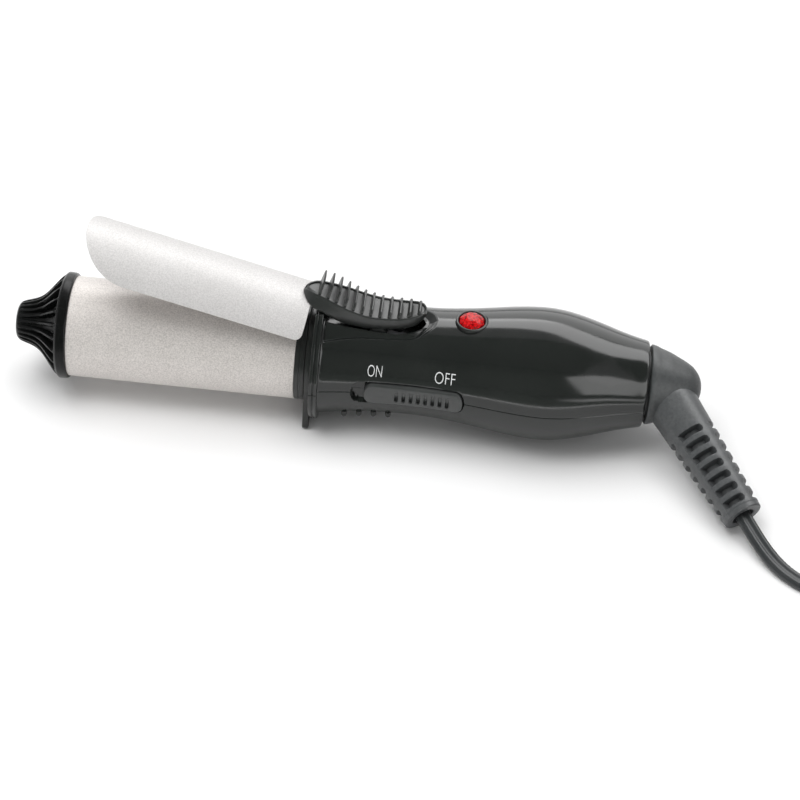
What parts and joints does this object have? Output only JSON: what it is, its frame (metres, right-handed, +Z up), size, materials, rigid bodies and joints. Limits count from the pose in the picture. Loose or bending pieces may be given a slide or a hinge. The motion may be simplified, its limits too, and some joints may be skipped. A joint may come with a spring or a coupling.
{
  "type": "curling iron",
  "caption": "Travel curling iron with a sprung clamp, finned thumb lever, slide switch, pilot lamp, stand plate, swivel cord outlet and coiled flat lead with a two-blade plug.",
  "frame": {"origin": "bottom centre of the iron's own box, on the table under the middle of its length", "axes": "+X along the barrel axis from the cool tip to the cord outlet, +Z up through the thumb lever, -Y the side with the slide switch"},
  "size_m": [0.3594, 0.1118, 0.0626],
  "materials": {
    "handle_plastic": "glossy near-black ABS",
    "black_trim": "semi-gloss black heat-proof nylon",
    "barrel_metal": "satin anodised aluminium with a fine sparkle",
    "clamp_metal": "satin silver-coated plate",
    "lever_plastic": "matte dark grey nylon",
    "slider_plastic": "satin black ABS",
    "red_lens": "faceted clear red lens",
    "lamp_glass": "clear glass neon lamp",
    "elbow_plastic": "matte dark grey",
    "boot_rubber": "matte dark grey moulded PVC",
    "cord_pvc": "dark grey PVC",
    "plug_pvc": "dark grey moulded PVC",
    "tie_plastic": "black plastic-coated tie",
    "blade_brass": "plated brass",
    "contact_brass": "brass contacts in nylon",
    "screw_steel": "zinc-plated steel",
    "bracket_steel": "pressed steel",
    "spring_steel": "spring wire",
    "heater_aluminium": "extruded aluminium",
    "heater_ceramic": "ceramic and film",
    "wire_sleeve": "silicone sleeve",
    "white_plastic": "natural nylon"
  },
  "bodies": {
    "handle": {"upper_handle_shell": "handle_plastic", "lower_handle_shell": "handle_plastic", "shell_screws": "screw_steel", "stand_plate": "black_trim", "barrel_collar": "black_trim", "barrel_tube": "barrel_metal", "cool_tip": "black_trim", "tip_bracket": "bracket_steel", "tip_screw": "screw_steel", "heater_block_upper": "heater_aluminium", "heater_block_lower": "heater_aluminium", "ptc_heater": "heater_ceramic", "thermal_fuse": "heater_ceramic", "heater_leads": "wire_sleeve", "spring_anchor": "bracket_steel", "hinge_pin": "screw_steel", "clamp_spring": "spring_steel", "switch_body": "white_plastic", "lamp_bezel": "black_trim", "lamp_lens": "red_lens", "pilot_lamp": "lamp_glass", "supply_leads": "wire_sleeve", "swivel_socket": "white_plastic"},
    "clamp": {"clamp_plate": "clamp_metal", "thumb_lever": "lever_plastic", "lever_rivets": "screw_steel"},
    "slide_switch": {"power_slider": "slider_plastic", "switch_shuttle": "white_plastic"},
    "swivel": {"swivel_stem": "contact_brass", "swivel_elbow": "elbow_plastic", "cord_boot": "boot_rubber", "cord_lead": "cord_pvc", "cord_coil": "cord_pvc", "cord_tie": "tie_plastic", "cord_tail": "cord_pvc", "plug_body": "plug_pvc", "plug_blades": "blade_brass"}
  },
  "joints": [
    {"name": "clamp_hinge", "type": "hinge", "parent": "handle", "child": "clamp", "pos_m": [0.0149, 0, 0.0346], "axis": [0, 1, 0], "range_deg": [-14.8, 0], "stiffness_Nm_per_rad": 0.08, "springref_deg": -29.79, "deforming": ["clamp_spring"]},
    {"name": "power_slide", "type": "slide", "parent": "handle", "child": "slide_switch", "axis": [-1, 0, 0], "range_m": [0, 0.0037]},
    {"name": "cord_swivel", "type": "hinge", "parent": "handle", "child": "swivel", "pos_m": [0.0992, 0, 0.0211], "axis": [1, 0, 0], "continuous": true}
  ]
}
